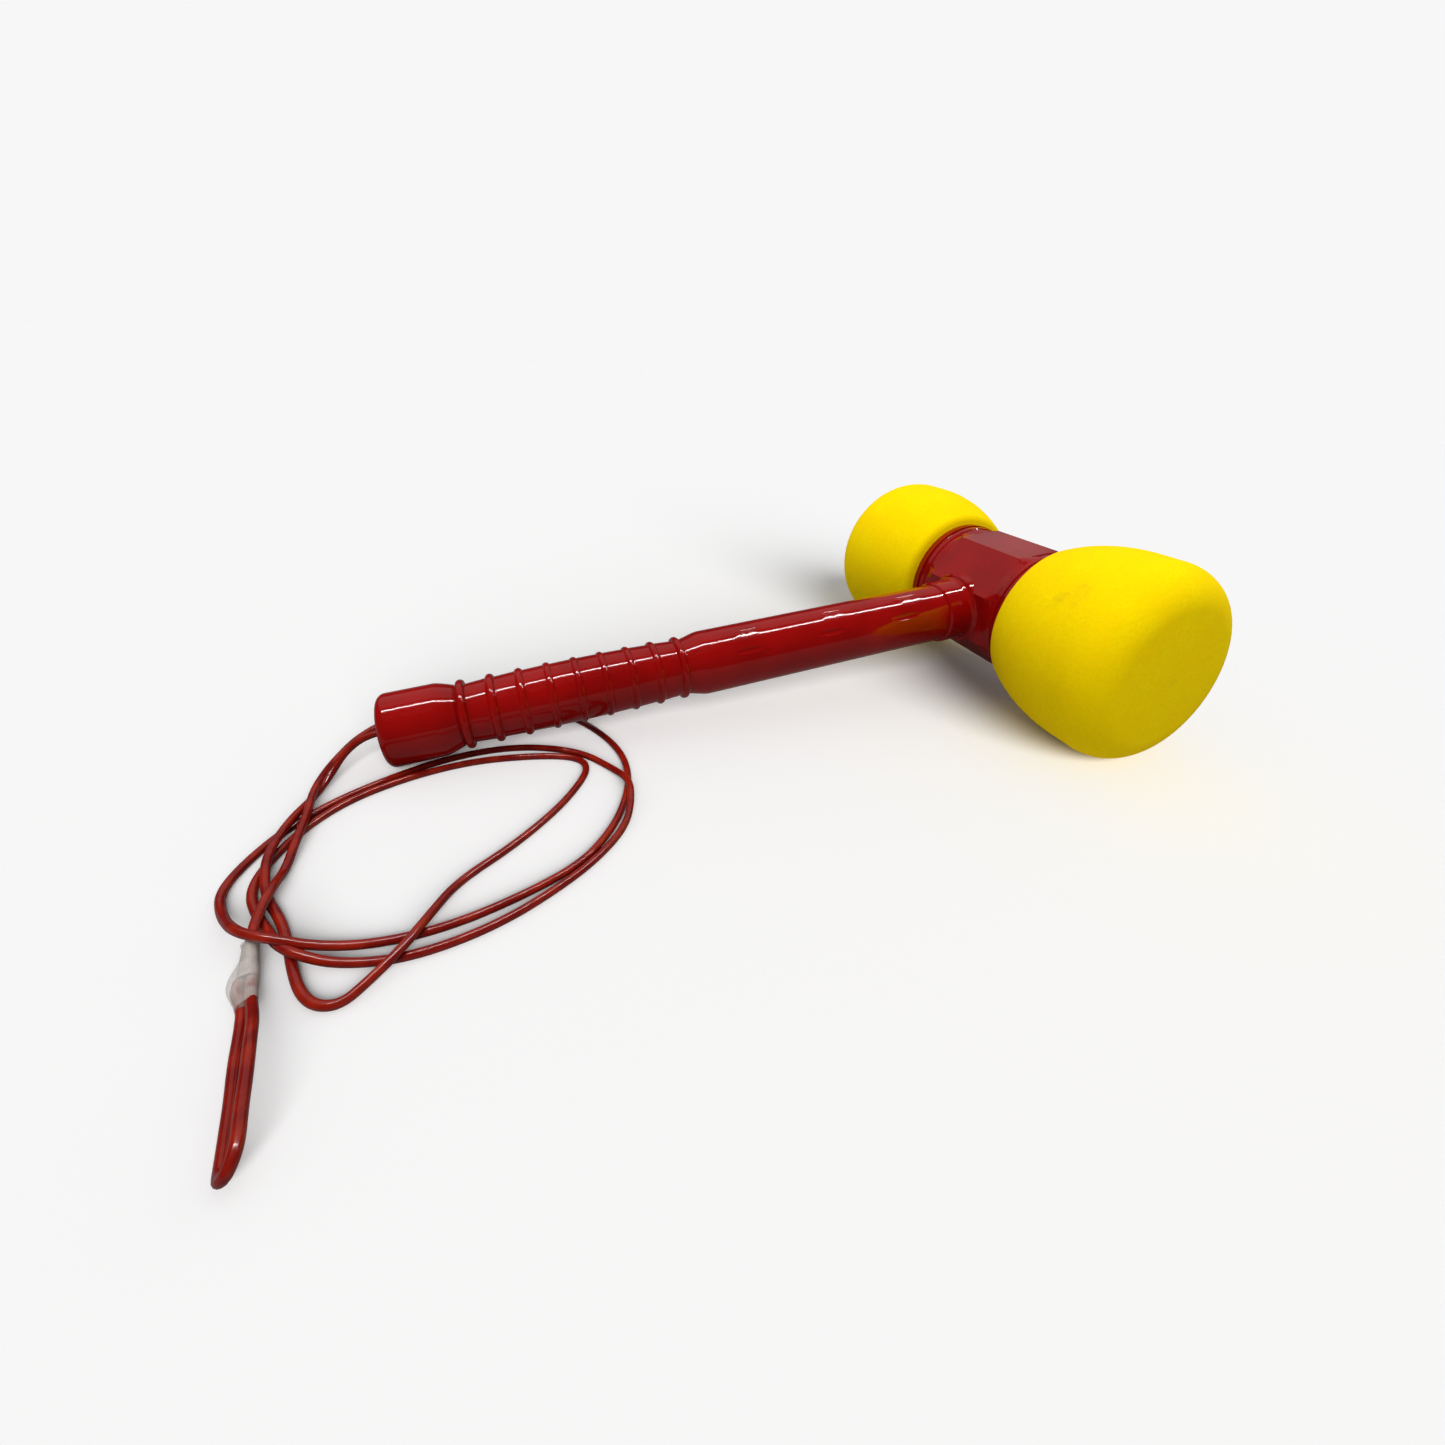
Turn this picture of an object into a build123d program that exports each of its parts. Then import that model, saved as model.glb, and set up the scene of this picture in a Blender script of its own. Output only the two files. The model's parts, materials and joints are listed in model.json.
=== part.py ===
"""Soft foam mallet with a ribbed vinyl handle and a coated-wire tether, resting on the floor.

Millimetres, +Z up, +X towards the head, +Y along the head axis; origin at the bottom centre.
"""
import math
import os

from build123d import *

# ---- driving dimensions -------------------------------------------------------------------
FOAM_R = 46.8          # foam head radius = height of the head axis above the floor
FOAM_BASE_R = 37.0     # foam radius where it meets the collar
FOAM_LENGTH = 67.2
FOAM_EDGE = 17.2       # rounding of the strike face
HANDLE_LENGTH = 302.4  # head axis to butt end
SHAFT_R = 14.5
BUTT_EDGE = 3.0
COLLAR_FACE = 34.1     # |y| of the joint between collar and foam
COLLAR_R = 32.8
OCTAGON_FLAT = 31.2    # head axis to each flat of the tee
OCTAGON_END = 21.0     # |y| where the octagon ends
CONE_END = 25.5        # |y| where the cone meets the collar
SPIGOT_R = 20.0
BAND_START, BAND_END = 35.0, 45.6      # neck band along the handle
ROD_R = 4.0
TUBE_R, TUBE_BORE = 9.5, 7.5
TUBE_START = 16.0
TUBE_END = HANDLE_LENGTH - BUTT_EDGE - 0.1
RING_FIRST = 29.1      # butt end to the first grip ring
RING_PITCH = 11.04
RING_COUNT = 9
RING_TOP = 14.0        # outer radius over the skin on each ring
WIRE_D = 2.6           # coated tether
WIRE_R = WIRE_D / 2
FLOOR = WIRE_R         # centre height of the tether where it lies on the floor

# ---- derived placement --------------------------------------------------------------------
LEAN = math.hypot(HANDLE_LENGTH - BUTT_EDGE, SHAFT_R - BUTT_EDGE)
SLOPE = (math.asin((FOAM_R - BUTT_EDGE) / LEAN)
         - math.atan2(SHAFT_R - BUTT_EDGE, HANDLE_LENGTH - BUTT_EDGE))
BUTT_REACH = ((HANDLE_LENGTH - BUTT_EDGE) * math.cos(SLOPE)
              + (SHAFT_R - BUTT_EDGE) * math.sin(SLOPE) + BUTT_EDGE)
HEAD_X = (BUTT_REACH - FOAM_R) / 2
HEAD_Z = FOAM_R
HEAD = Vector(HEAD_X, 0, HEAD_Z)
ALONG = Vector(-math.cos(SLOPE), 0, -math.sin(SLOPE))   # from the head down the handle
UPWARD = Vector(-math.sin(SLOPE), 0, math.cos(SLOPE))
HANDLE_AXIS = Axis(HEAD, ALONG)
HEAD_AXIS = Axis(HEAD, (0, 1, 0))
HANDLE_PLANE = Plane(origin=HEAD, x_dir=ALONG, z_dir=(0, 1, 0))
RINGS = [HANDLE_LENGTH - RING_FIRST - i * RING_PITCH for i in range(RING_COUNT)]


def head_plane(side):
    """Half plane of the head: local x along the head axis (side +1 / -1), local y upward."""
    return Plane(origin=HEAD, x_dir=(0, side, 0), z_dir=(side, 0, 0))


def on_handle(t, across=0.0, lift=0.0):
    """Point at distance t along the handle, moved across (+Y) and lifted off its axis."""
    return HEAD + ALONG * t + Vector(0, across, 0) + UPWARD * lift


def outline(plane, axis, points):
    """Revolve a closed polygon given as (along, radius) pairs."""
    with BuildSketch(plane) as sketch:
        with BuildLine():
            Polyline(*points, close=True)
        make_face()
    revolve(sketch.sketch, axis=axis)


def tube(points, radius):
    """Round bar through hand-set points, each corner as wide as its runs allow."""
    vectors = [Vector(*p) for p in points]
    radii = []
    for a, b, c in zip(vectors, vectors[1:], vectors[2:]):
        one, two = b - a, c - b
        turn = math.radians(one.get_angle(two))
        radii.append(0.45 * min(one.length, two.length) / math.tan(turn / 2))
    with BuildLine() as path:
        FilletPolyline(*vectors, radius=radii)
    with BuildSketch(Plane(origin=path.line @ 0, z_dir=path.line % 0)) as section:
        Circle(radius)
    sweep(section.sketch, path=path.line)
    return radii, sum(edge.length for edge in path.edges())


def skin_radius(t):
    """Grip skin radius between rings: slim near both ends, fuller in the middle."""
    u = (RINGS[0] - t) / (RINGS[0] - RINGS[-1])
    return 11.9 + 1.1 * math.sin(math.pi * min(max(u, 0.0), 1.0)) ** 0.8 + 0.5 * u


# ---- head ---------------------------------------------------------------------------------
with BuildPart() as tie_rod:
    with BuildSketch(Plane(origin=HEAD - Vector(0, 70, 0), z_dir=(0, 1, 0))):
        Circle(ROD_R)
    extrude(amount=140)
tie_rod.part.label = "tie_rod"

with BuildPart() as handle_tube:
    with BuildSketch(Plane(origin=on_handle(TUBE_START), z_dir=ALONG)):
        Circle(TUBE_R)
        Circle(TUBE_BORE, mode=Mode.SUBTRACT)
    extrude(amount=TUBE_END - TUBE_START)
    with BuildSketch(Plane(origin=on_handle(26, across=-16), z_dir=(0, 1, 0))):
        Circle(2.5)
    extrude(amount=32, mode=Mode.SUBTRACT)
handle_tube.part.label = "handle_tube"

with BuildPart() as cross_pin:
    with BuildSketch(Plane(origin=on_handle(26, across=-15), z_dir=(0, 1, 0))):
        Circle(2.5)
    extrude(amount=30)
cross_pin.part.label = "cross_pin"


def octagon(y):
    """Octagon across the head axis, one flat square to the handle."""
    plane = Plane(origin=HEAD + Vector(0, y, 0), x_dir=ALONG, z_dir=(0, 1, 0))
    with BuildSketch(plane) as sketch:
        RegularPolygon(OCTAGON_FLAT, 8, major_radius=False, rotation=22.5)
    return sketch.sketch


def rim(y):
    with BuildSketch(Plane(origin=HEAD + Vector(0, y, 0), x_dir=ALONG, z_dir=(0, 1, 0))) as sketch:
        Circle(COLLAR_R - 0.7)
    return sketch.sketch


with BuildPart() as head_tee:
    extrude(octagon(-OCTAGON_END), amount=2 * OCTAGON_END)
    for side in (-1, 1):
        loft([octagon(side * OCTAGON_END), rim(side * CONE_END)])
        outline(head_plane(side), HEAD_AXIS,
                [(CONE_END, 0), (CONE_END, SPIGOT_R), (COLLAR_FACE, SPIGOT_R), (COLLAR_FACE, 0)])
    with BuildSketch(HANDLE_PLANE):
        with BuildLine():
            Polyline((20, 0), (20, 18.2), (30.8, 18.2), (31.4, 17.6))
            RadiusArc((31.4, 17.6), (34, 15.8), -2.9)
            Polyline((34, 15.8), (BAND_START, 15.8), (BAND_START, 0), (20, 0))
        make_face()
    revolve(axis=HANDLE_AXIS)
    with BuildSketch(Plane(origin=on_handle(TUBE_START), z_dir=ALONG)):
        Circle(TUBE_R)
    extrude(amount=30, mode=Mode.SUBTRACT)
    add(tie_rod.part, mode=Mode.SUBTRACT)
    add(cross_pin.part, mode=Mode.SUBTRACT)
head_tee.part.label = "head_tee"


def collar(side):
    with BuildPart() as ring:
        outline(head_plane(side), HEAD_AXIS,
                [(CONE_END, SPIGOT_R), (CONE_END, COLLAR_R - 0.7), (CONE_END + 0.8, COLLAR_R - 0.1),
                 (28.6, COLLAR_R), (29.0, COLLAR_R - 0.7), (29.9, COLLAR_R - 0.7),
                 (30.4, COLLAR_R + 0.3), (33.6, COLLAR_R + 0.3), (COLLAR_FACE, COLLAR_R - 0.2),
                 (COLLAR_FACE, SPIGOT_R)])
    return ring


def anchor(side):
    """Mushroom core that carries the foam: flange, stem and cap, bored for the tie rod."""
    face = COLLAR_FACE
    with BuildPart() as core:
        outline(head_plane(side), HEAD_AXIS,
                [(face, ROD_R), (face, 30), (face + 3, 30), (face + 3, 11), (face + 21, 11),
                 (face + 21, 19), (face + 26, 17.5), (face + 26, ROD_R)])
    return core


collar_left, collar_right = collar(-1), collar(1)
collar_left.part.label, collar_right.part.label = "collar_left", "collar_right"
anchor_left, anchor_right = anchor(-1), anchor(1)
anchor_left.part.label, anchor_right.part.label = "foam_anchor_left", "foam_anchor_right"

NUT_SEAT = COLLAR_FACE + 26
with BuildPart() as tie_washers:
    for side in (-1, 1):
        outline(head_plane(side), HEAD_AXIS, [(NUT_SEAT, ROD_R), (NUT_SEAT, 8.5),
                                              (NUT_SEAT + 1.6, 8.5), (NUT_SEAT + 1.6, ROD_R)])
tie_washers.part.label = "tie_washers"

with BuildPart() as tie_nuts:
    for side in (-1, 1):
        with BuildSketch(Plane(origin=HEAD + Vector(0, side * (NUT_SEAT + 1.6), 0),
                               x_dir=(1, 0, 0), z_dir=(0, side, 0))):
            RegularPolygon(6.5, 6, major_radius=False)
            Circle(ROD_R, mode=Mode.SUBTRACT)
        extrude(amount=6.5)
tie_nuts.part.label = "tie_nuts"


def foam_head(side, core):
    tip = COLLAR_FACE + FOAM_LENGTH
    bulge = COLLAR_FACE + 37.9
    with BuildPart() as foam:
        with BuildSketch(head_plane(side)):
            with BuildLine():
                Line((COLLAR_FACE, 0), (COLLAR_FACE, FOAM_BASE_R - 1.5))
                RadiusArc((COLLAR_FACE, FOAM_BASE_R - 1.5), (COLLAR_FACE + 1.6, FOAM_BASE_R + 0.8), 2.2)
                RadiusArc((COLLAR_FACE + 1.6, FOAM_BASE_R + 0.8), (bulge, FOAM_R), 78.2)
                Line((bulge, FOAM_R), (tip - FOAM_EDGE, FOAM_R))
                RadiusArc((tip - FOAM_EDGE, FOAM_R), (tip, FOAM_R - FOAM_EDGE), FOAM_EDGE)
                Polyline((tip, FOAM_R - FOAM_EDGE), (tip, 0), (COLLAR_FACE, 0))
            make_face()
        revolve(axis=HEAD_AXIS)
        for inner in (core, tie_rod, tie_nuts, tie_washers):
            add(inner.part, mode=Mode.SUBTRACT)
    return foam


foam_left, foam_right = foam_head(-1, anchor_left), foam_head(1, anchor_right)
foam_left.part.label, foam_right.part.label = "foam_head_left", "foam_head_right"

# ---- handle -------------------------------------------------------------------------------
with BuildPart() as neck_band:
    outline(HANDLE_PLANE, HANDLE_AXIS, [(BAND_START, TUBE_R), (BAND_START, 15.8), (BAND_END - 0.8, 15.8),
                                          (BAND_END, 15.0), (BAND_END, TUBE_R)])
neck_band.part.label = "neck_band"


GRIP_START, GRIP_END = RINGS[-1] - 11.6, RINGS[0] + 9.5
CORE_R = 13.0
RING_WIRE, RING_CENTRE = 1.15, 12.1


def grip_ring(t):
    with BuildPart() as ring:
        with BuildSketch(HANDLE_PLANE):
            with Locations((t, RING_CENTRE)):
                Circle(RING_WIRE)
        revolve(axis=HANDLE_AXIS)
    return ring


grip_rings = [grip_ring(t) for t in RINGS]
for number, ring in enumerate(grip_rings, 1):
    ring.part.label = f"grip_ring_{number}"

ring_spots = [(t, RING_CENTRE) for t in RINGS]
BARREL = [(t, skin_radius(t) - 0.7) for t in (RINGS[-1] - 1.8, 202, 218, 234, 250, RINGS[0] + 1.8)]
with BuildSketch() as core_section:      # half section: x along the handle, y radius
    with BuildLine():
        Polyline((GRIP_START, CORE_R), (BAND_END, CORE_R), (BAND_END, TUBE_R), (TUBE_END, TUBE_R),
                 (TUBE_END, CORE_R), (GRIP_END, CORE_R), BARREL[-1])
        Spline(*reversed(BARREL))
        Line(BARREL[0], (GRIP_START, CORE_R))
    make_face()
    with Locations(*ring_spots):
        Circle(RING_WIRE, mode=Mode.SUBTRACT)

BEAD_HALF, BEAD_FOOT = 1.4, 2.1       # half width of a ring's bead, and of its foot on the skin


def bead(t, last):
    """Skin from the point last over the ring at t; returns where the bead's foot ends."""
    base, shoulder = skin_radius(t), RING_TOP - 0.8
    foot_in, foot_out = (t + BEAD_FOOT, base), (t - BEAD_FOOT, base)
    side_in, side_out = (t + BEAD_HALF, shoulder), (t - BEAD_HALF, shoulder)
    return (Line(last, foot_in), Bezier(foot_in, (t + BEAD_HALF + 0.15, base), side_in),
            ThreePointArc(side_in, (t, RING_TOP), side_out),
            Bezier(side_out, (t - BEAD_HALF - 0.15, base), foot_out))


with BuildSketch() as skin_section:
    with BuildLine():
        Polyline((GRIP_START, SHAFT_R), (GRIP_START, TUBE_R), (GRIP_END, TUBE_R), (GRIP_END, SHAFT_R))
        taper_end = (RINGS[0] + BEAD_FOOT + 0.3, skin_radius(RINGS[0]) + 0.5)
        Bezier((GRIP_END, SHAFT_R), (GRIP_END - 1.6, SHAFT_R), taper_end)
        last = taper_end
        for t in RINGS:
            last = bead(t, last)[-1] @ 1
        Bezier(last, (last.X - 3, last.Y + 0.6), (GRIP_START + 2.5, SHAFT_R), (GRIP_START, SHAFT_R))
    make_face()
    add(core_section.sketch, mode=Mode.SUBTRACT)
    with Locations(*ring_spots):
        Circle(RING_WIRE, mode=Mode.SUBTRACT)

with BuildPart() as handle_core:
    with BuildSketch(HANDLE_PLANE):
        add(core_section.sketch)
    revolve(axis=HANDLE_AXIS)
handle_core.part.label = "handle_core"

with BuildPart() as handle_skin:
    with BuildSketch(HANDLE_PLANE):
        add(skin_section.sketch)
    revolve(axis=HANDLE_AXIS)
handle_skin.part.label = "handle_skin"

DENTS = ((155, 32, 0.5), (113, 33, 0.5), (72, 32, 0.5), (153, 72, 0.3), (109, 74, 0.3), (67, 74, 0.3))
with BuildPart() as shaft_sleeve:
    outline(HANDLE_PLANE, HANDLE_AXIS,
            [(BAND_END, CORE_R), (BAND_END, SHAFT_R + 0.2), (GRIP_START, SHAFT_R), (GRIP_START, CORE_R)])
    for t, angle, depth in DENTS:
        out = UPWARD * math.sin(math.radians(angle)) - Vector(0, 1, 0) * math.cos(math.radians(angle))
        centre = on_handle(t) + out * (SHAFT_R + 0.1 + 60 - depth)
        with Locations(Plane(origin=centre, x_dir=out, z_dir=out.cross(ALONG))):
            Torus(57, 3, mode=Mode.SUBTRACT)
shaft_sleeve.part.label = "shaft_sleeve"

with BuildPart() as inner_cable:
    with BuildSketch(Plane(origin=on_handle(270), z_dir=ALONG)):
        Circle(WIRE_R)
    extrude(amount=HANDLE_LENGTH - 270)
inner_cable.part.label = "inner_cable"

with BuildPart() as butt_sleeve:
    with BuildSketch(HANDLE_PLANE):
        with BuildLine():
            Polyline((GRIP_END, CORE_R), (GRIP_END, SHAFT_R), (HANDLE_LENGTH - BUTT_EDGE, SHAFT_R))
            RadiusArc((HANDLE_LENGTH - BUTT_EDGE, SHAFT_R), (HANDLE_LENGTH, SHAFT_R - BUTT_EDGE), BUTT_EDGE)
            Polyline((HANDLE_LENGTH, SHAFT_R - BUTT_EDGE), (HANDLE_LENGTH, 0), (TUBE_END, 0),
                     (TUBE_END, CORE_R), (GRIP_END, CORE_R))
        make_face()
    revolve(axis=HANDLE_AXIS)
    add(inner_cable.part, mode=Mode.SUBTRACT)
butt_sleeve.part.label = "butt_sleeve"


def bored_disc(start, end, radius):
    """Disc inside the handle tube with a hole for the cable."""
    with BuildPart() as disc:
        outline(HANDLE_PLANE, HANDLE_AXIS,
                [(start, WIRE_R), (start, radius), (end, radius), (end, WIRE_R)])
    return disc


PLUG_START = TUBE_END - 18
cable_stop = bored_disc(PLUG_START - 11, PLUG_START - 2, 3.4)
stop_washer = bored_disc(PLUG_START - 2, PLUG_START, TUBE_BORE)
butt_plug = bored_disc(PLUG_START, TUBE_END, TUBE_BORE)
cable_stop.part.label, stop_washer.part.label = "cable_stop", "stop_washer"
butt_plug.part.label = "butt_plug"

# ---- tether -------------------------------------------------------------------------------
EXIT = on_handle(HANDLE_LENGTH)
OUT = on_handle(HANDLE_LENGTH + 6)
FERRULE_A = Vector(-197.3, -82, 3.1)
FERRULE_B = Vector(-195.9, -92, 2.1)
LEAD_IN = FERRULE_A + (FERRULE_A - FERRULE_B).normalized() * 4.4
ROUTE = [
    tuple(EXIT), tuple(OUT), (-186.5, -2.2, 8.8), (-190.7, -8, 3.6), (-194.9, -18, FLOOR),
    (-197.9, -30.5, 6.0), (-200.4, -42, 6.6), (-200.9, -51.5, 6.3), (-198.7, -63, FLOOR),
    (-192.9, -73.5, FLOOR), (-189.2, -83.5, FLOOR), (-186.4, -93, FLOOR), (-183.4, -100.5, FLOOR),
    (-179.4, -105.5, FLOOR), (-173.9, -107, FLOOR), (-168.9, -103.8, 3.5), (-161.9, -98, 6.5),
    (-154.9, -87.5, 6.5), (-148.4, -74.5, FLOOR), (-131.4, -63.5, FLOOR), (-115.4, -49, FLOOR),
    (-105.9, -36.5, FLOOR), (-101.9, -28.5, FLOOR), (-102.9, -22, FLOOR), (-109.4, -17, FLOOR),
    (-123.4, -13, FLOOR), (-142.9, -10.5, FLOOR), (-162.9, -13.5, FLOOR), (-181.4, -21, FLOOR),
    (-193.4, -32, FLOOR), (-200.9, -46.5, FLOOR), (-203.4, -59, FLOOR), (-199.4, -69.5, FLOOR),
    (-194.1, -78.5, FLOOR), (-191.7, -84, 4.4), (-186.9, -89.3, 4.4), (-176.4, -94.5, FLOOR),
    (-159.4, -98.5, FLOOR), (-137.4, -95, FLOOR), (-116.9, -85, FLOOR), (-103.9, -75.5, FLOOR),
    (-94.4, -65, FLOOR), (-90.4, -55.5, 5.8), (-88.4, -43.5, 5.8), (-92.9, -30.5, FLOOR),
    (-101.9, -17, FLOOR), (-116.9, -8, FLOOR), (-133.9, -4, FLOOR), (-153.9, -6, FLOOR),
    (-172.9, -13.5, FLOOR), (-187.9, -22, FLOOR), (-199.4, -32.5, FLOOR), (-206.9, -45, FLOOR),
    (-210.9, -57, FLOOR), (-207.4, -68, 2.0), (-200.4, -80, 6.8), (-191.9, -85, 6.8),
    (-181.9, -87.5, 2.7), (-167.4, -91, FLOOR), (-149.4, -91, FLOOR), (-129.4, -86, FLOOR),
    (-112.4, -79, FLOOR), (-101.4, -68, FLOOR), (-93.9, -56.5, FLOOR), (-87.9, -41, FLOOR),
    (-86.4, -25, FLOOR), (-90.4, -8, FLOOR), (-100.4, 11, FLOOR), (-115.9, 26.5, FLOOR),
    (-136.9, 35.5, FLOOR), (-158.9, 36.5, FLOOR), (-176.4, 31, FLOOR), (-186.4, 20, FLOOR),
    (-191.9, 5, FLOOR), (-193.4, -7.5, 5.1), (-194.4, -18.5, 6.6), (-193.9, -31, 6.6),
    (-194.9, -43.5, 5.5), (-195.9, -53.5, FLOOR), (-196.5, -62, 4.4), (-197.5, -71, 4.4),
    tuple(LEAD_IN), tuple(FERRULE_A),
]
EYE = [
    (-197.3, -92.6, 2.0), (-197.4, -95.6, 1.75), (-194.8, -100.4, 1.6), (-193.2, -106.9, FLOOR),
    (-191.9, -114.3, FLOOR), (-190.2, -122.4, FLOOR), (-189.3, -130.0, FLOOR),
    (-188.6, -135.8, FLOOR), (-187.9, -138.9, 2.3), (-186.4, -140.3, 4.4),
    (-185.0, -138.9, 6.4), (-184.5, -135.8, 7.2), (-185.2, -130.0, 7.3), (-186.2, -122.4, 7.2),
    (-187.7, -114.3, 6.7), (-189.7, -107.4, 5.4), (-192.8, -100.6, 3.6), (-194.1, -95.8, 2.5),
    (-194.7, -92.4, 2.15),
]

with BuildPart() as tether_cable:
    tether_radii, tether_length = tube(ROUTE, WIRE_R)
tether_cable.part.label = "tether_cable"

with BuildPart() as cable_eye:
    eye_radii, eye_length = tube(EYE, WIRE_R)
cable_eye.part.label = "cable_eye"

FERRULE_DIR = (FERRULE_B - FERRULE_A).normalized()
SIDEWAYS = FERRULE_DIR.cross(Vector(0, 0, 1)).normalized()
with BuildPart() as crimp_ferrule:
    with BuildSketch(Plane(origin=FERRULE_A, x_dir=SIDEWAYS, z_dir=FERRULE_DIR)):
        Ellipse(1.7, 1.6)
    with BuildSketch(Plane(origin=FERRULE_B, x_dir=SIDEWAYS, z_dir=FERRULE_DIR)):
        Ellipse(2.3, 1.5)
    loft()
crimp_ferrule.part.label = "crimp_ferrule"

with BuildPart() as clear_sleeve:
    sections = ((FERRULE_A, 2.15, 2.05, 0), (Vector(-196.5, -88, 2.5), 2.3, 2.05, 0),
                (Vector(-196.1, -94.4, 2.25), 3.3, 2.15, 0),
                (Vector(-194.9, -98, 2.4), 2.9, 2.1, 20), (Vector(-193.8, -101, 2.65), 2.95, 1.75, 40))
    for centre, wide, high, tilt in sections:
        side = Vector(math.cos(math.radians(tilt)), 0, math.sin(math.radians(tilt)))
        with BuildSketch(Plane(origin=centre, x_dir=side, z_dir=(0.138, -0.985, -0.05))):
            Ellipse(wide, high)
    loft()
    for inner in (crimp_ferrule, cable_eye, tether_cable):
        add(inner.part, mode=Mode.SUBTRACT)
clear_sleeve.part.label = "clear_sleeve"

# ---- export -------------------------------------------------------------------------------
os.makedirs("parts", exist_ok=True)
pieces = [
    head_tee, collar_left, collar_right, anchor_left, anchor_right, foam_left, foam_right, tie_rod,
    tie_washers, tie_nuts, cross_pin, handle_tube, neck_band, handle_core, shaft_sleeve,
    handle_skin, butt_sleeve, butt_plug, cable_stop, stop_washer, inner_cable, tether_cable,
    crimp_ferrule, clear_sleeve, cable_eye, *grip_rings,
]
for piece in pieces:
    export_step(piece.part, f"parts/{piece.part.label}.step")

for name, radii, length, cord in (("tether_cable", tether_radii, tether_length, tether_cable),
                                  ("cable_eye", eye_radii, eye_length, cable_eye)):
    section = math.pi * WIRE_R ** 2
    print(name, "length", round(length, 1), "smallest radii",
          [round(r, 1) for r in sorted(radii)[:8]],
          "volume / section x length", round(cord.part.volume / (section * length), 4))
print("slope deg", round(math.degrees(SLOPE), 3), "head x", round(HEAD_X, 2), "pieces", len(pieces))
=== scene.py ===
"""Looks of the soft foam mallet: foam heads, vinyl and the coated tether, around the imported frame."""
import json
import math

import bmesh
import bpy
from mathutils import Matrix, Vector, noise


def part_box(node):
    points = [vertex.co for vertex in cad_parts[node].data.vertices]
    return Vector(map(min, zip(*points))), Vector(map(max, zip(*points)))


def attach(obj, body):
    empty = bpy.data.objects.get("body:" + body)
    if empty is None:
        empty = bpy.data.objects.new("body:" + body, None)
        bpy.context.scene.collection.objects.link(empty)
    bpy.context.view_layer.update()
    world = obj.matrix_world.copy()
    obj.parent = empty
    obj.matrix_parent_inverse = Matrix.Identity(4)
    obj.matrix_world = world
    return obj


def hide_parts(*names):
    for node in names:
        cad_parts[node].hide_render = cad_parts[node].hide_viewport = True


MM = 0.001


# ---- camera -------------------------------------------------------------------------------
CAMERA_PLACE = (-131.2, -236.0, 151.4)             # mm
HEADING, DIP, ROLL = 64.636, 23.406, 4.85          # degrees: from +X, below level, about the view
LENS, SHIFT_X, SHIFT_Y = 15.2, -0.0231, -0.0596    # mm on a 36 mm sensor; shares of its width


def make_camera():
    data = bpy.data.cameras.new("camera")
    data.sensor_width = 36
    data.lens = LENS
    data.shift_x = SHIFT_X
    data.shift_y = SHIFT_Y
    data.clip_start = 0.01
    camera = bpy.data.objects.new("camera", data)
    bpy.context.scene.collection.objects.link(camera)
    heading, dip, roll = math.radians(HEADING), math.radians(DIP), math.radians(ROLL)
    turn = (Matrix.Rotation(heading - math.pi / 2, 4, "Z") @ Matrix.Rotation(math.pi / 2 - dip, 4, "X")
            @ Matrix.Rotation(roll, 4, "Z"))
    camera.matrix_world = Matrix.Translation(Vector(CAMERA_PLACE) * MM) @ turn
    bpy.context.scene.camera = camera


make_camera()
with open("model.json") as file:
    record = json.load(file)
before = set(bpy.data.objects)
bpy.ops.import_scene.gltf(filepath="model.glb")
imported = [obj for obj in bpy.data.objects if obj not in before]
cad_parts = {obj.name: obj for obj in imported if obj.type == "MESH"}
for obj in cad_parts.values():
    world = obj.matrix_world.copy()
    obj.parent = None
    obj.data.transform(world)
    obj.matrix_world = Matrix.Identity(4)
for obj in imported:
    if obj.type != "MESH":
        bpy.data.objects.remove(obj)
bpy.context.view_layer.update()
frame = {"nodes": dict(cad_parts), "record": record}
nodes = frame["nodes"]


# ---- node helpers -------------------------------------------------------------------------
COLOUR_A, COLOUR_B, COLOUR_RESULT = 6, 7, 2    # a Mix node's colour sockets, which share names


def new_material(name, **values):
    """Principled material; values are set on the shader's own sockets."""
    material = bpy.data.materials.new(name)
    material.use_nodes = True
    shader = material.node_tree.nodes["Principled BSDF"]
    for key, value in values.items():
        shader.inputs[key.replace("_", " ")].default_value = value
    return material, material.node_tree, shader


def link(tree, out, into):
    tree.links.new(out, into)


def add_noise(tree, scale, detail=3.0, roughness=0.5):
    """Noise in object coordinates, which are metres here."""
    where = tree.nodes.new("ShaderNodeTexCoord")
    node = tree.nodes.new("ShaderNodeTexNoise")
    node.inputs["Scale"].default_value = scale
    node.inputs["Detail"].default_value = detail
    node.inputs["Roughness"].default_value = roughness
    link(tree, where.outputs["Object"], node.inputs["Vector"])
    return node.outputs["Fac"]


def ramp(tree, source, low, high):
    """Rescale a value so that low..high becomes 0..1."""
    node = tree.nodes.new("ShaderNodeMapRange")
    node.interpolation_type = "SMOOTHSTEP"
    node.inputs["From Min"].default_value = low
    node.inputs["From Max"].default_value = high
    link(tree, source, node.inputs["Value"])
    return node.outputs["Result"]


def mix_colour(tree, factor, first, second):
    """Mix two colours; each is a tuple or another node's colour socket."""
    node = tree.nodes.new("ShaderNodeMix")
    node.data_type = "RGBA"
    link(tree, factor, node.inputs["Factor"])
    for socket, value in ((node.inputs[COLOUR_A], first), (node.inputs[COLOUR_B], second)):
        if hasattr(value, "default_value"):
            link(tree, value, socket)
        else:
            socket.default_value = (*value, 1)
    return node.outputs[COLOUR_RESULT]


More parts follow.
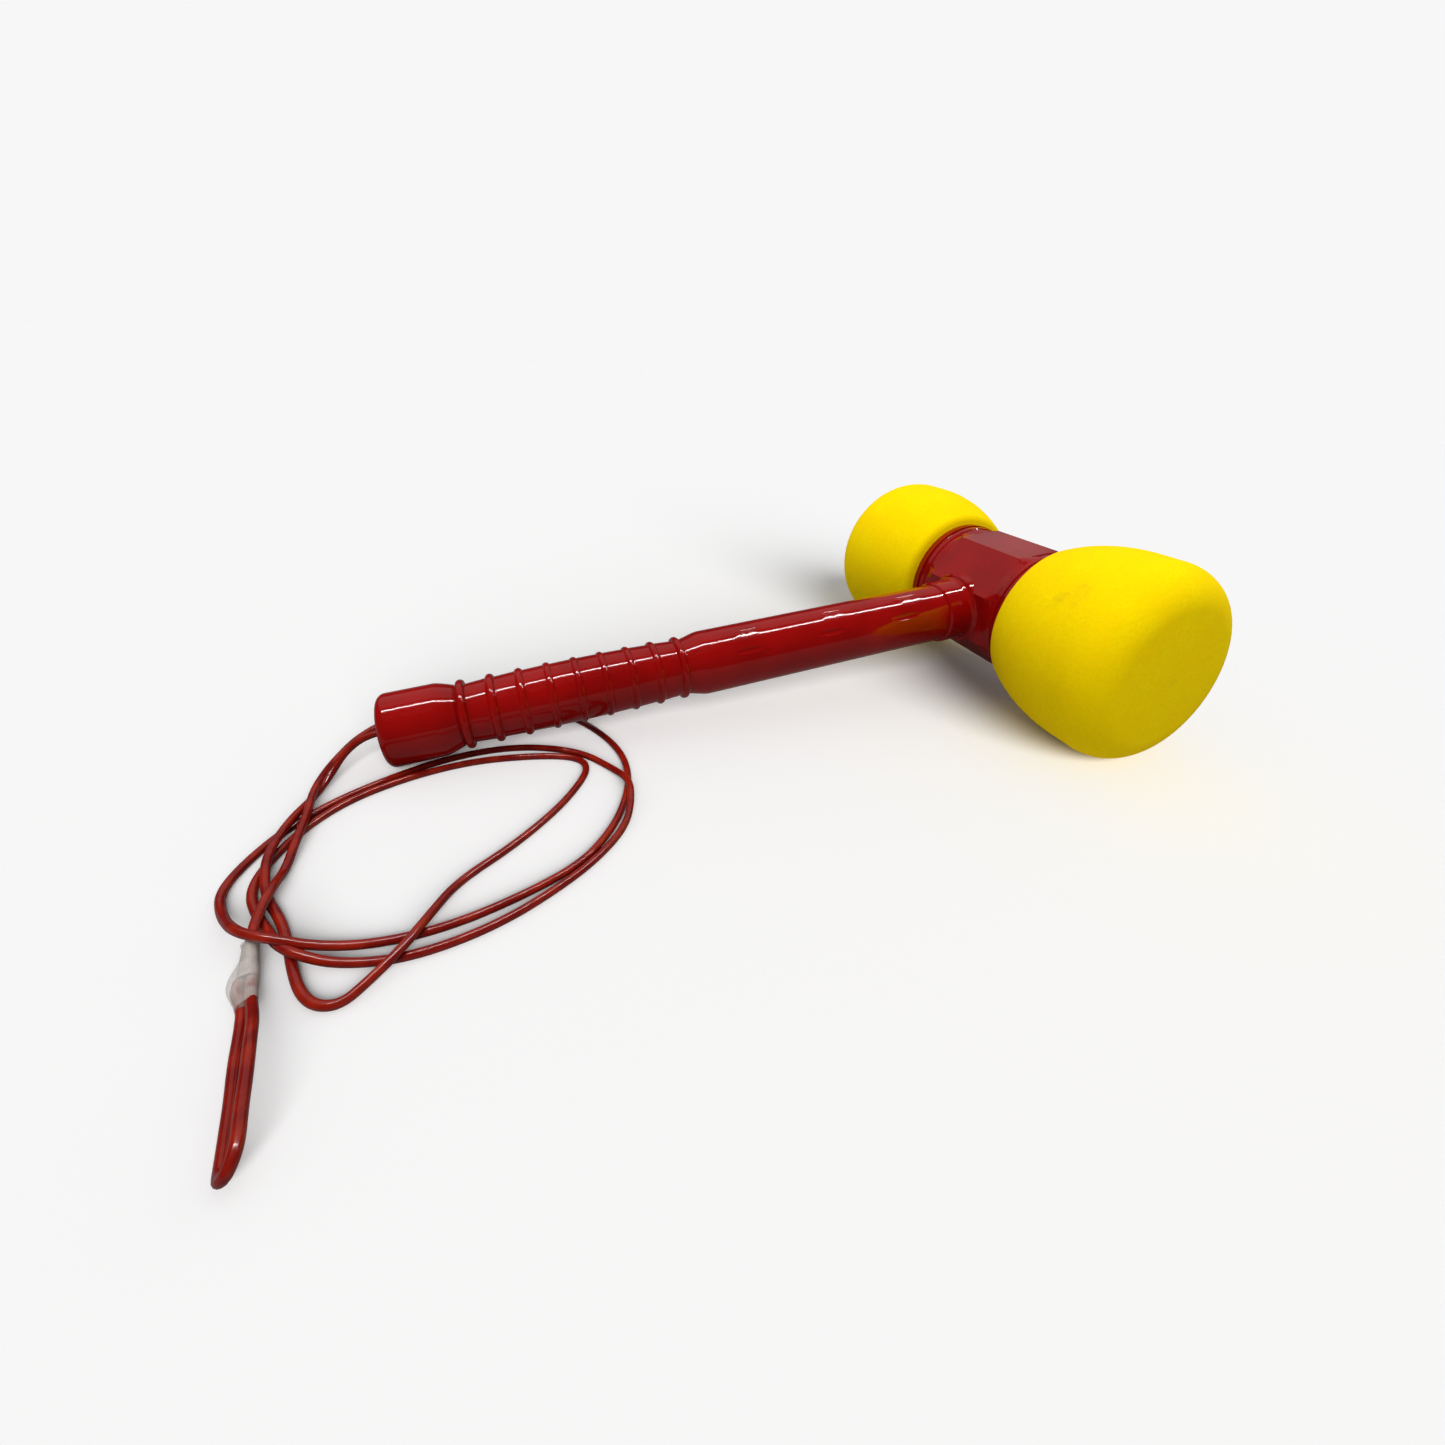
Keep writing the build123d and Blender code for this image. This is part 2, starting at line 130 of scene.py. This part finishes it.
def add_bump(tree, shader, layers):
    """layers: (height socket, strength, distance in metres), chained one on another."""
    before = None
    for height, strength, distance in layers:
        node = tree.nodes.new("ShaderNodeBump")
        node.inputs["Strength"].default_value = strength
        node.inputs["Distance"].default_value = distance
        link(tree, height, node.inputs["Height"])
        if before:
            link(tree, before, node.inputs["Normal"])
        before = node.outputs["Normal"]
    link(tree, before, shader.inputs["Normal"])


# ---- materials ----------------------------------------------------------------------------
def vinyl():
    """Glossy dipped vinyl: deep red, with the slow waviness of a coating that ran before it set."""
    material, tree, shader = new_material("red_vinyl", Roughness=0.09)
    tone = ramp(tree, add_noise(tree, 45, 2), 0.3, 0.7)
    base = mix_colour(tree, tone, (0.23, 0.0015, 0.0011), (0.285, 0.0022, 0.0017))
    link(tree, base, shader.inputs["Base Color"])
    add_bump(tree, shader, [(add_noise(tree, 60, 2), 0.25, 0.0004), (add_noise(tree, 420, 2), 0.05, 0.0001)])
    return material


def foam():
    """Matte closed-cell foam: fine pores, faint mottling and a few scuffs."""
    material, tree, shader = new_material("yellow_foam", Roughness=0.95, Specular_IOR_Level=0.04)
    mottling = ramp(tree, add_noise(tree, 60, 5, 0.6), 0.3, 0.75)
    base = mix_colour(tree, mottling, (1.0, 0.68, 0.0), (1.0, 0.75, 0.0))
    grain = ramp(tree, add_noise(tree, 700, 4, 0.7), 0.35, 0.7)
    base = mix_colour(tree, grain, base, (0.93, 0.66, 0.0))
    dirt = ramp(tree, add_noise(tree, 38, 6, 0.65), 0.62, 0.78)
    faded = tree.nodes.new("ShaderNodeMath")
    faded.operation = "MULTIPLY"
    faded.inputs[1].default_value = 0.35
    link(tree, dirt, faded.inputs[0])
    link(tree, mix_colour(tree, faded.outputs[0], base, (0.42, 0.31, 0.01)), shader.inputs["Base Color"])
    add_bump(tree, shader, [(add_noise(tree, 1800, 3, 0.7), 0.3, 0.0002),
                            (add_noise(tree, 260, 4, 0.6), 0.12, 0.0002)])
    return material


def jacket():
    """Translucent red jacket drawn over wire rope."""
    material, tree, shader = new_material("tether_jacket", Roughness=0.2,
                                          Coat_Weight=0.3, Coat_Roughness=0.05,
                                          Subsurface_Weight=0.15, Subsurface_Scale=0.002)
    tone = ramp(tree, add_noise(tree, 160, 3), 0.35, 0.7)
    base = mix_colour(tree, tone, (0.17, 0.003, 0.001), (0.27, 0.011, 0.002))
    link(tree, base, shader.inputs["Base Color"])
    add_bump(tree, shader, [(add_noise(tree, 500, 2), 0.2, 0.0002)])
    return material


def shrink_film():
    """Clear, slightly grey shrink film: mostly see-through and glossy."""
    material, tree, shader = new_material("clear_shrink", Roughness=0.18, Alpha=0.38, Coat_Weight=0.5)
    tone = ramp(tree, add_noise(tree, 300, 3), 0.3, 0.7)
    link(tree, mix_colour(tree, tone, (0.52, 0.46, 0.42), (0.70, 0.64, 0.60)), shader.inputs["Base Color"])
    add_bump(tree, shader, [(add_noise(tree, 350, 2), 0.4, 0.0004)])
    return material


def steel(name, colour, rough, metallic=1.0):
    """Dull or plated steel with fine marks."""
    material, tree, shader = new_material(name, Metallic=metallic)
    marks = add_noise(tree, 900, 4, 0.6)
    base = mix_colour(tree, ramp(tree, marks, 0.3, 0.7), colour, [c * 0.8 for c in colour])
    link(tree, base, shader.inputs["Base Color"])
    shader.inputs["Roughness"].default_value = rough
    add_bump(tree, shader, [(marks, 0.15, 0.0001)])
    return material


def dark_plastic():
    """Moulded black plastic of the inner pieces."""
    material, tree, shader = new_material("core_plastic", Roughness=0.6)
    tone = ramp(tree, add_noise(tree, 300, 3), 0.3, 0.7)
    link(tree, mix_colour(tree, tone, (0.02, 0.02, 0.02), (0.035, 0.035, 0.035)), shader.inputs["Base Color"])
    return material


finishes = {
    "red_vinyl": vinyl(), "yellow_foam": foam(), "tether_jacket": jacket(), "clear_shrink": shrink_film(),
    "bare_steel": steel("bare_steel", (0.62, 0.57, 0.53), 0.5, 0.4),
    "tube_steel": steel("tube_steel", (0.45, 0.46, 0.48), 0.3),
    "zinc_steel": steel("zinc_steel", (0.6, 0.6, 0.58), 0.3),
    "core_plastic": dark_plastic(),
}


def finish_nodes():
    """Give every CAD node the finish that the record names for it."""
    for entry in frame["record"]["subparts"]:
        mesh = nodes[entry["node"]].data
        mesh.materials.clear()
        mesh.materials.append(finishes[entry["material_slot"]])


finish_nodes()

# ---- tether -------------------------------------------------------------------------------
WIRE = 2.6          # diameter over the jacket, mm
FLOOR = WIRE / 2    # height of the centre line where the cord lies on the floor
ROUTE = [
    (-173.1, 0, 14.11), (-179.05, 0, 13.46), (-186.5, -2.2, 8.8), (-190.7, -8, 3.6), (-194.9, -18, FLOOR),
    (-197.9, -30.5, 3.9), (-200.4, -42, 4.1), (-200.9, -51.5, 3.9), (-198.7, -63, FLOOR),
    (-192.9, -73.5, FLOOR), (-189.2, -83.5, FLOOR), (-186.4, -93, FLOOR), (-183.4, -100.5, FLOOR),
    (-179.4, -105.5, FLOOR), (-173.9, -107, FLOOR), (-168.9, -103.8, 2.5), (-161.9, -98, 4.1),
    (-154.9, -87.5, 4.1), (-148.4, -74.5, FLOOR), (-131.4, -63.5, FLOOR), (-115.4, -49, FLOOR),
    (-105.9, -36.5, FLOOR), (-101.9, -28.5, FLOOR), (-102.9, -22, FLOOR), (-109.4, -17, FLOOR),
    (-123.4, -13, FLOOR), (-142.9, -10.5, FLOOR), (-162.9, -13.5, FLOOR), (-181.4, -21, FLOOR),
    (-193.4, -32, FLOOR), (-200.9, -46.5, FLOOR), (-203.4, -59, FLOOR), (-199.4, -69.5, FLOOR),
    (-194.1, -78.5, FLOOR), (-191.7, -84, 3.9), (-186.9, -89.3, 3.9), (-176.4, -94.5, FLOOR),
    (-159.4, -98.5, FLOOR), (-137.4, -95, FLOOR), (-116.9, -85, FLOOR), (-103.9, -75.5, FLOOR),
    (-94.4, -65, FLOOR), (-90.4, -55.5, 4.0), (-88.4, -43.5, 4.0), (-92.9, -30.5, FLOOR),
    (-101.9, -17, FLOOR), (-116.9, -8, FLOOR), (-133.9, -4, FLOOR), (-153.9, -6, FLOOR),
    (-172.9, -13.5, FLOOR), (-187.9, -22, FLOOR), (-199.4, -32.5, FLOOR), (-206.9, -45, FLOOR),
    (-210.9, -57, FLOOR), (-207.4, -68, 2.0), (-200.4, -80, 6.4), (-191.9, -85, 6.4),
    (-181.9, -87.5, 2.2), (-167.4, -91, FLOOR), (-149.4, -91, FLOOR), (-129.4, -86, FLOOR),
    (-112.4, -79, FLOOR), (-101.4, -68, FLOOR), (-93.9, -56.5, FLOOR), (-87.9, -41, FLOOR),
    (-86.4, -25, FLOOR), (-90.4, -8, FLOOR), (-100.4, 11, FLOOR), (-115.9, 26.5, FLOOR),
    (-136.9, 35.5, FLOOR), (-158.9, 36.5, FLOOR), (-176.4, 31, FLOOR), (-186.4, 20, FLOOR),
    (-191.9, 5, FLOOR), (-193.4, -7.5, 3.3), (-194.4, -18.5, 4.1), (-193.9, -31, 4.1),
    (-194.9, -43.5, 3.4), (-195.9, -53.5, FLOOR), (-196.5, -62, 4.1), (-197.5, -71, 4.2),
    (-197.9, -77.7, 3.53), (-197.3, -82, 3.1),
]
EYE = [
    (-197.3, -92.6, 2.0), (-197.4, -95.6, 1.75), (-194.8, -100.4, 1.6), (-193.8, -107, FLOOR),
    (-192.9, -115, FLOOR), (-191.4, -123.2, FLOOR), (-190.3, -131.0, FLOOR),
    (-189.5, -136.8, FLOOR), (-188.8, -139.9, 2.3), (-187.3, -141.3, 4.5), (-185.9, -139.9, 6.6),
    (-185.6, -136.8, 7.5), (-186.5, -131.0, 7.7), (-187.5, -123.2, 7.6), (-188.9, -115, 7.1),
    (-190.4, -107.5, 5.6), (-192.8, -100.6, 3.6), (-194.1, -95.8, 2.5), (-194.7, -92.4, 2.15),
]


def cord_curve(name, points):
    """Round cord of one smooth spline whose control points are the route's points."""
    data = bpy.data.curves.new(name, "CURVE")
    data.dimensions = "3D"
    data.resolution_u = 10
    data.bevel_depth = WIRE * MM / 2
    data.bevel_resolution = 5
    data.use_fill_caps = True
    spline = data.splines.new("NURBS")
    spline.points.add(len(points) - 1)
    for target, point in zip(spline.points, points):
        target.co = (*[c * MM for c in point], 1)
    spline.order_u = 3
    spline.use_endpoint_u = True
    curve = bpy.data.objects.new(name, data)
    bpy.context.scene.collection.objects.link(curve)
    data.materials.append(finishes["tether_jacket"])
    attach(curve, "root")
    return curve


tether = cord_curve("tether", ROUTE)
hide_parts("tether_cable")
eye = cord_curve("wire_eye", EYE)
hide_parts("cable_eye")


# ---- foam heads ---------------------------------------------------------------------------
AROUND = 220                            # facets round each head
FOAM_BASE = 37.0 * MM                   # radius at the collar
FOAM_EDGE = 17.2 * MM                   # rounding of the strike face
FOAM_FLARE = 78.2 * MM                  # radius of the curve from the collar to the full width
FOAM_RISE = 37.9 * MM                   # length of that curve along the head axis
FOAM_CROWN = 1.2 * MM                   # how far the strike face bulges
FLARE_TRIM, EDGE_TRIM = 1.2, 6          # degrees left off the flare at the collar, off the edge at the face
FLARE_STEPS, SIDE_STEPS, EDGE_STEPS, FACE_STEPS = 40, 8, 36, 24
SLOW_WAVES = (22, 0.2 * MM)             # waves per metre and their height
FINE_WAVES = (160, 0.02 * MM)
EVEN_MIDDLE = 20 * MM                   # nearer the axis than this, the waves fade out
FLATTENED = 0.15 * MM                   # height of the lowest points where a head lies on the floor


def arc(centre, radius, start, end, steps):
    """Points of an arc in (along, radius) space, angles in degrees from the head axis."""
    for k in range(steps + 1):
        angle = math.radians(start + (end - start) * k / steps)
        yield centre[0] + radius * math.cos(angle), centre[1] + radius * math.sin(angle)


def foam_profile(length, radius):
    """Half section from the collar joint to the middle of the strike face, (along, radius)."""
    turn = math.degrees(math.asin(FOAM_RISE / FOAM_FLARE))
    straight = length - FOAM_EDGE - FOAM_CROWN - FOAM_RISE
    points = [(0, 0), (0, FOAM_BASE * 0.5), (0, FOAM_BASE - 2 * MM)]
    flare_centre = (FOAM_RISE, radius - FOAM_FLARE)
    points += list(arc(flare_centre, FOAM_FLARE, 90 + turn - FLARE_TRIM, 90, FLARE_STEPS))
    points += [(FOAM_RISE + straight * k / SIDE_STEPS, radius) for k in range(1, SIDE_STEPS)]
    edge_centre = (FOAM_RISE + straight, radius - FOAM_EDGE)
    points += list(arc(edge_centre, FOAM_EDGE, 90, EDGE_TRIM, EDGE_STEPS))
    inner = points[-1]
    for k in range(1, FACE_STEPS + 1):
        share = 1 - k / FACE_STEPS
        points.append((inner[0] + FOAM_CROWN * (1 - share ** 2), inner[1] * share))
    return points


def uneven(point, seed):
    """Slow and fine unevenness of moulded foam, in metres."""
    offset = Vector((seed, seed * 2, 0))
    return sum(noise.noise(point * often + offset) * high for often, high in (SLOW_WAVES, FINE_WAVES))


def weld(piece):
    """Merge the points that meet on the axis and shade smooth."""
    work = bmesh.new()
    work.from_mesh(piece.data)
    bmesh.ops.remove_doubles(work, verts=work.verts, dist=1e-6)
    bmesh.ops.recalc_face_normals(work, faces=work.faces)
    work.to_mesh(piece.data)
    work.free()
    for polygon in piece.data.polygons:
        polygon.use_smooth = True


def foam_head(name, node, side, seed):
    """Foam head turned from its profile, uneven, and flat where it lies on the floor."""
    low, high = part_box(node)
    centre = Vector(((low.x + high.x) / 2, 0, (low.z + high.z) / 2))
    joint, tip = (low.y, high.y) if side > 0 else (high.y, low.y)
    radius = (high.z - low.z) / 2
    profile = foam_profile(abs(tip - joint), radius)
    verts, faces = [], []
    for along, across in profile:
        for k in range(AROUND):
            angle = 2 * math.pi * k / AROUND
            out = Vector((math.cos(angle), 0, math.sin(angle)))
            spot = centre + out * across + Vector((0, joint + side * along, 0))
            if across > 0:
                spot += out * uneven(spot, seed) * min(1, across / EVEN_MIDDLE)
            spot.z = max(spot.z, FLATTENED)
            verts.append(spot)
    rings = len(profile)
    for ring in range(rings - 1):
        for k in range(AROUND):
            a, b = ring * AROUND + k, ring * AROUND + (k + 1) % AROUND
            c, d = b + AROUND, a + AROUND
            faces.append((a, b, c, d) if side < 0 else (d, c, b, a))
    mesh = bpy.data.meshes.new(name)
    mesh.from_pydata(verts, [], faces)
    piece = bpy.data.objects.new(name, mesh)
    bpy.context.scene.collection.objects.link(piece)
    weld(piece)
    mesh.materials.append(finishes["yellow_foam"])
    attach(piece, "root")
    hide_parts(node)


foam_head("foam_near", "foam_head_left", -1, 3.0)
foam_head("foam_far", "foam_head_right", 1, 9.0)


# ---- floor and light ----------------------------------------------------------------------
# How bright the world and the floor are as light, in reflections, and to the camera.
AMBIENT, MIRRORED, BACKDROP = 0.36, 0.03, 0.93
FLOOR_BOUNCE, FLOOR_MIRRORED, FLOOR_SEEN = 0.55, 0.2, 1.02


def make_floor():
    """Plain pale floor, 24 m across, with its own brightness for light, reflections and the camera."""
    mesh = bpy.data.meshes.new("floor")
    reach = 12
    mesh.from_pydata([(-reach, -reach, 0), (reach, -reach, 0), (reach, reach, 0), (-reach, reach, 0)],
                     [], [(0, 1, 2, 3)])
    floor = bpy.data.objects.new("floor", mesh)
    bpy.context.scene.collection.objects.link(floor)
    material = bpy.data.materials.new("floor")
    material.use_nodes = True
    tree = material.node_tree
    tree.nodes.remove(tree.nodes["Principled BSDF"])
    paint = tree.nodes.new("ShaderNodeBsdfDiffuse")
    path = tree.nodes.new("ShaderNodeLightPath")
    level = mix_colour(tree, path.outputs["Is Glossy Ray"], (FLOOR_BOUNCE,) * 3, (FLOOR_MIRRORED,) * 3)
    level = mix_colour(tree, path.outputs["Is Camera Ray"], level, (FLOOR_SEEN,) * 3)
    link(tree, level, paint.inputs["Color"])
    link(tree, paint.outputs["BSDF"], tree.nodes["Material Output"].inputs["Surface"])
    mesh.materials.append(material)
    return floor


def make_world():
    """White surroundings with their own brightness for light, reflections and the camera."""
    world = bpy.data.worlds.new("studio")
    world.use_nodes = True
    tree = world.node_tree
    base = tree.nodes["Background"]
    base.inputs["Color"].default_value = (1, 1, 1, 1)
    path = tree.nodes.new("ShaderNodeLightPath")
    level = None
    for ray, value in (("Is Glossy Ray", MIRRORED), ("Is Camera Ray", BACKDROP)):
        step = tree.nodes.new("ShaderNodeMapRange")
        step.inputs["To Min"].default_value = AMBIENT
        step.inputs["To Max"].default_value = value
        if level:
            link(tree, level, step.inputs["To Min"])
        link(tree, path.outputs[ray], step.inputs["Value"])
        level = step.outputs["Result"]
    link(tree, level, base.inputs["Strength"])
    bpy.context.scene.world = world


def soft_box(name, place, tilt, width, height, power):
    """Long soft light seen only as a reflection; it lies along X and is tilted about it, in degrees."""
    data = bpy.data.lights.new(name, "AREA")
    data.shape = "RECTANGLE"
    data.size, data.size_y = width, height
    data.energy = power
    lamp = bpy.data.objects.new(name, data)
    bpy.context.scene.collection.objects.link(lamp)
    lamp.location = place
    lamp.rotation_euler = (math.radians(tilt), 0, 0)
    lamp.visible_diffuse = False


def make_sun(name, direction, energy, spread, floor, lights_floor):
    """Broad light whose disc doesn't show in the gloss; it lights the floor alone, or all but the floor."""
    data = bpy.data.lights.new(name, "SUN")
    data.energy = energy
    data.angle = math.radians(spread)
    lamp = bpy.data.objects.new(name, data)
    bpy.context.scene.collection.objects.link(lamp)
    lamp.rotation_euler = Vector(direction).to_track_quat("-Z", "Y").to_euler()
    lamp.visible_glossy = False
    chosen = bpy.data.collections.new(name)
    chosen.objects.link(floor)
    chosen.collection_objects[0].light_linking.link_state = "INCLUDE" if lights_floor else "EXCLUDE"
    lamp.light_linking.receiver_collection = chosen


bpy.context.scene.view_settings.view_transform = "Standard"
floor = make_floor()
make_world()
make_sun("key", direction=(0.22, 0.12, -1), energy=2.8, spread=50, floor=floor, lights_floor=False)
make_sun("shadow_maker", direction=(0.1, 1.9, -1), energy=3.73, spread=46, floor=floor, lights_floor=True)
soft_box("ceiling_strip", place=(0.15, 0.02, 1.0), tilt=0, width=1.5, height=0.03, power=8)
soft_box("ceiling_panel", place=(0.15, 0.75, 0.95), tilt=-38, width=2.4, height=1.1, power=2.8)
